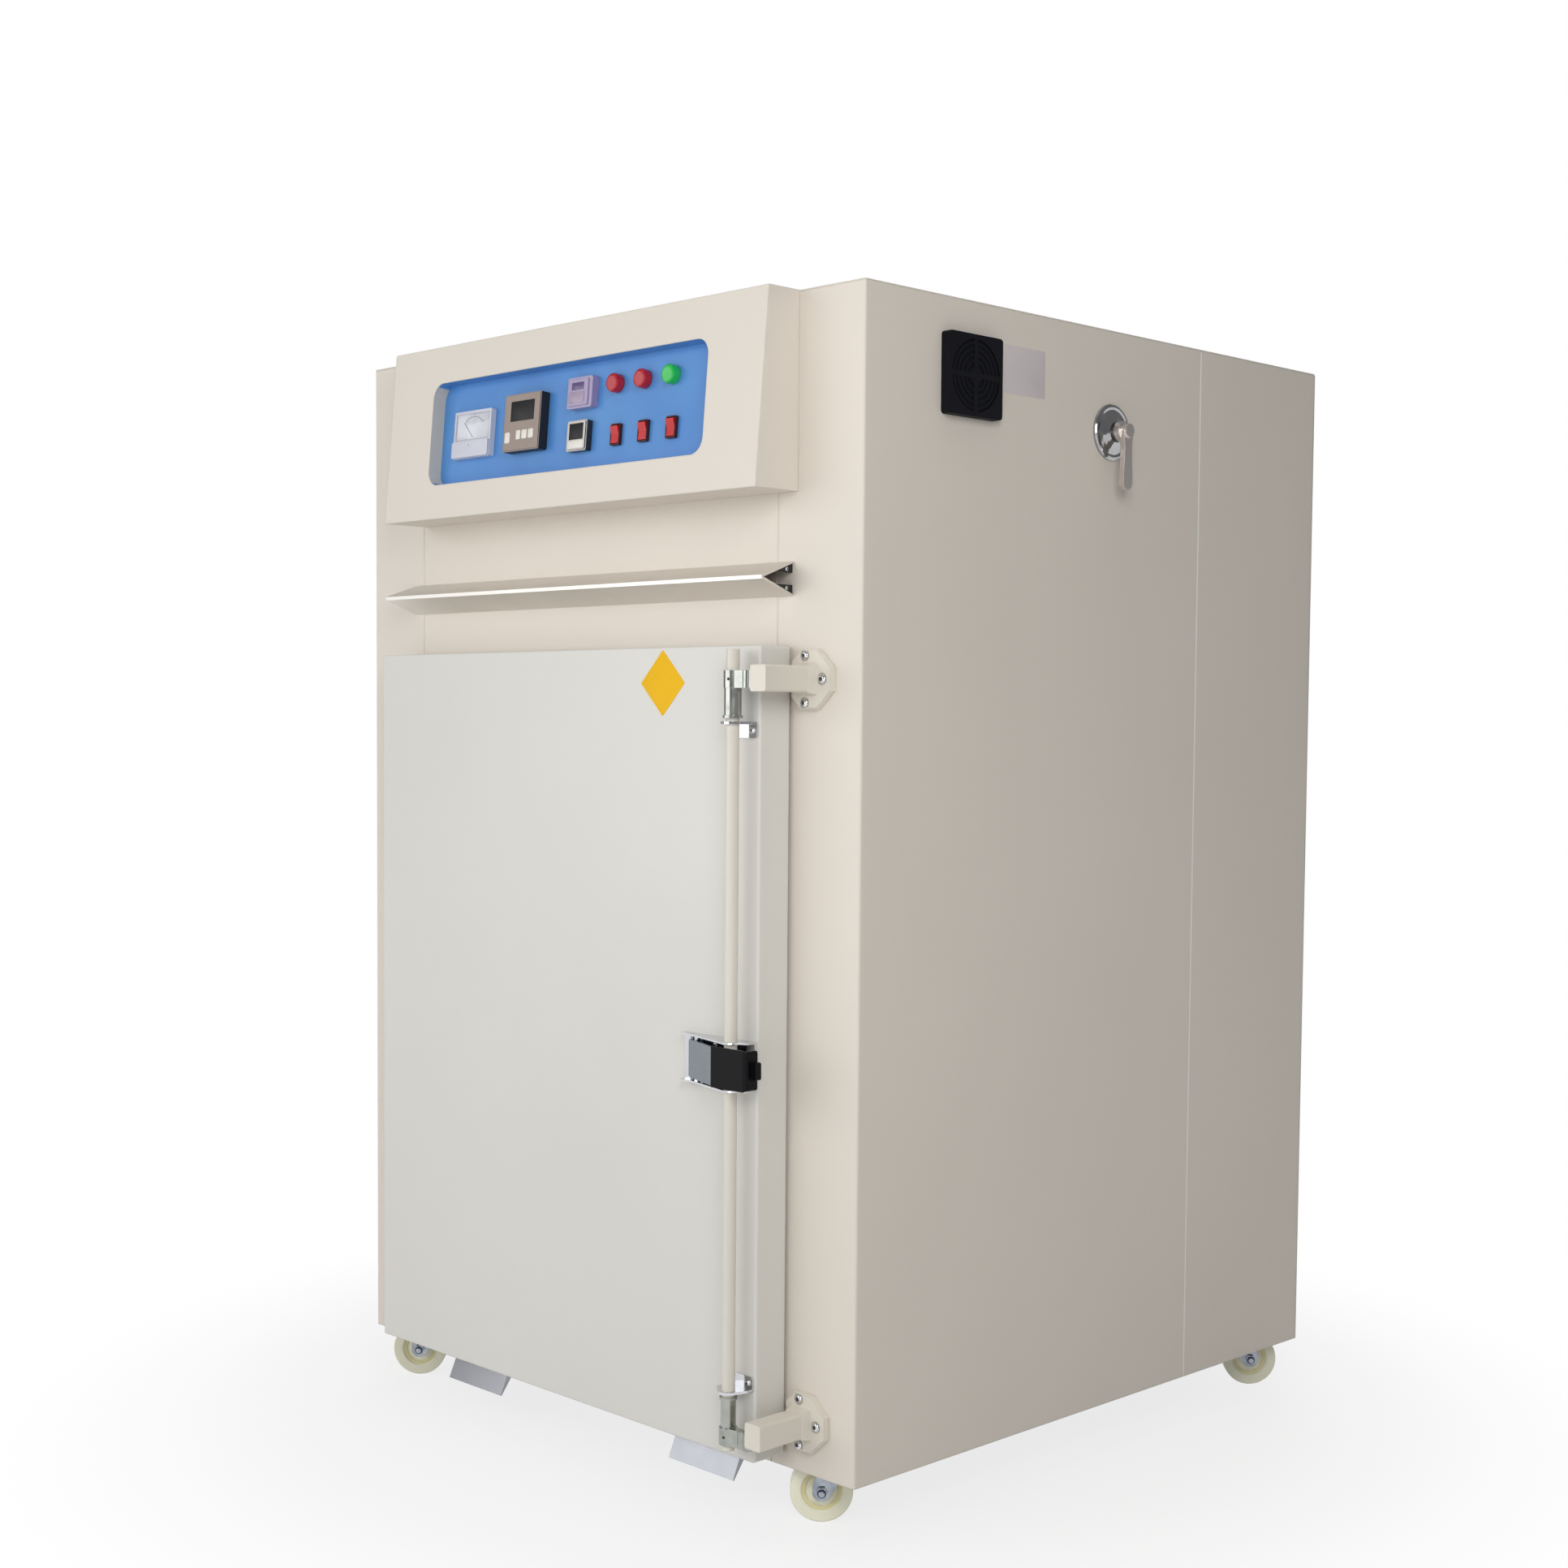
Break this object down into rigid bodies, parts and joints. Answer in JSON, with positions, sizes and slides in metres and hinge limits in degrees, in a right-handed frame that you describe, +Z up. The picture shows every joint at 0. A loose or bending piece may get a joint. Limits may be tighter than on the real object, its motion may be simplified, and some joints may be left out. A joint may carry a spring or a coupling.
{
  "type": "large laboratory convection oven on casters",
  "caption": "Tall cream convection oven on swivel casters with one rod-locked door, sloping control hood, side fan grille and exhaust damper.",
  "frame": {"origin": "on the floor under the middle of the whole object's bounding box", "axes": "+Z up, the door faces -Y, the fan grille and damper are on the +X side"},
  "size_m": [1.276, 1.286, 1.846],
  "materials": {
    "cream_paint": "smooth semi-gloss powder coat",
    "door_paint": "smooth semi-gloss powder coat",
    "stainless": "satin stainless sheet",
    "zinc": "zinc-plated steel",
    "chrome": "bright plating",
    "black_plastic": "fine grained",
    "black_steel": "satin black",
    "blue_panel": "satin printed panel",
    "meter_case": "clear front over a white scale",
    "controller_case": "satin",
    "timer_cover": "tinted clear cover",
    "silver_case": "satin",
    "lamp_red": "moulded lens",
    "lamp_green": "moulded lens",
    "rocker_red": "polished",
    "silicone": "matte silicone",
    "nylon": "moulded nylon"
  },
  "bodies": {
    "cabinet": {"left_side_panel": "cream_paint", "left_rear_panel": "cream_paint", "right_side_panel": "cream_paint", "right_rear_panel": "cream_paint", "back_panel": "cream_paint", "top_panel": "cream_paint", "base_pan": "zinc", "left_stile": "cream_paint", "right_stile": "cream_paint", "front_fascia": "cream_paint", "front_sill": "cream_paint", "doorway_border": "stainless", "chamber_sides": "stainless", "chamber_back": "stainless", "chamber_ceiling": "stainless", "chamber_floor_pan": "stainless", "control_hood": "cream_paint", "control_panel": "blue_panel", "ammeter": "meter_case", "temperature_controller": "controller_case", "timer": "timer_cover", "limit_controller": "silver_case", "red_lamps": "lamp_red", "green_lamp": "lamp_green", "switch_frames": "black_plastic", "heat_deflector": "stainless", "deflector_brackets": "black_steel", "keepers": "cream_paint", "fan_grille": "black_plastic", "damper_escutcheon": "chrome", "bottom_lips": "stainless", "hinge_frame_leaves": "door_paint", "caster_plates": "zinc"},
    "door": {"door_panel": "door_paint", "door_inner_panel": "stainless", "door_gasket": "silicone", "hinge_door_leaves": "door_paint", "rod_guides": "chrome", "handle_base": "chrome"},
    "lever": {"handle_lever": "chrome", "handle_grip": "black_plastic"},
    "rod": {"lock_rod": "door_paint", "lock_cams": "chrome"},
    "damper": {"damper_lever": "chrome"},
    "rocker_key_1": {"rocker_1": "rocker_red"},
    "rocker_key_2": {"rocker_2": "rocker_red"},
    "rocker_key_3": {"rocker_3": "rocker_red"},
    "caster_front_left": {"fork_front_left": "zinc"},
    "roller_front_left": {"wheel_front_left": "nylon"},
    "caster_front_right": {"fork_front_right": "zinc"},
    "roller_front_right": {"wheel_front_right": "nylon"},
    "caster_rear_left": {"fork_rear_left": "zinc"},
    "roller_rear_left": {"wheel_rear_left": "nylon"},
    "caster_rear_right": {"fork_rear_right": "zinc"},
    "roller_rear_right": {"wheel_rear_right": "nylon"}
  },
  "joints": [
    {"name": "door_hinge", "type": "hinge", "parent": "cabinet", "child": "door", "pos_m": [-0.53, -0.562, 0.715], "axis": [0, 0, -1], "range_deg": [0, 120]},
    {"name": "lever_pull", "type": "hinge", "parent": "door", "child": "lever", "pos_m": [0.323, -0.605, 0.702], "axis": [0, 0, -1], "range_deg": [0, 80]},
    {"name": "rod_turn", "type": "hinge", "parent": "door", "child": "rod", "pos_m": [0.425, -0.621, 0.702], "axis": [0, 0, -1], "range_deg": [0, 80]},
    {"name": "damper_turn", "type": "hinge", "parent": "cabinet", "child": "damper", "pos_m": [0.618, 0.045, 1.683], "axis": [1, 0, 0], "range_deg": [0, 90]},
    {"name": "rocker_tip_1", "type": "hinge", "parent": "cabinet", "child": "rocker_key_1", "pos_m": [0.114, -0.58625, 1.65984], "axis": [1, 0, 0], "range_deg": [-17, 0]},
    {"name": "rocker_tip_2", "type": "hinge", "parent": "cabinet", "child": "rocker_key_2", "pos_m": [0.18, -0.58625, 1.65984], "axis": [1, 0, 0], "range_deg": [-17, 0]},
    {"name": "rocker_tip_3", "type": "hinge", "parent": "cabinet", "child": "rocker_key_3", "pos_m": [0.246, -0.58625, 1.65984], "axis": [1, 0, 0], "range_deg": [-17, 0]},
    {"name": "swivel_front_left", "type": "hinge", "parent": "cabinet", "child": "caster_front_left", "pos_m": [-0.545, -0.454, 0.113], "axis": [0, 0, 1], "continuous": true},
    {"name": "roll_front_left", "type": "hinge", "parent": "caster_front_left", "child": "roller_front_left", "pos_m": [-0.56904, -0.47804, 0.048], "axis": [0.7071, -0.7071, 0], "continuous": true},
    {"name": "swivel_front_right", "type": "hinge", "parent": "cabinet", "child": "caster_front_right", "pos_m": [0.505, -0.454, 0.113], "axis": [0, 0, 1], "continuous": true},
    {"name": "roll_front_right", "type": "hinge", "parent": "caster_front_right", "child": "roller_front_right", "pos_m": [0.48096, -0.47804, 0.048], "axis": [0.7071, -0.7071, 0], "continuous": true},
    {"name": "swivel_rear_left", "type": "hinge", "parent": "cabinet", "child": "caster_rear_left", "pos_m": [-0.545, 0.568, 0.113], "axis": [0, 0, 1], "continuous": true},
    {"name": "roll_rear_left", "type": "hinge", "parent": "caster_rear_left", "child": "roller_rear_left", "pos_m": [-0.52096, 0.59204, 0.048], "axis": [-0.7071, 0.7071, 0], "continuous": true},
    {"name": "swivel_rear_right", "type": "hinge", "parent": "cabinet", "child": "caster_rear_right", "pos_m": [0.505, 0.568, 0.113], "axis": [0, 0, 1], "continuous": true},
    {"name": "roll_rear_right", "type": "hinge", "parent": "caster_rear_right", "child": "roller_rear_right", "pos_m": [0.52904, 0.59204, 0.048], "axis": [-0.7071, 0.7071, 0], "continuous": true}
  ],
  "couplings": [
    {"joint": "rod_turn", "follows": "lever_pull", "ratio": 1}
  ]
}
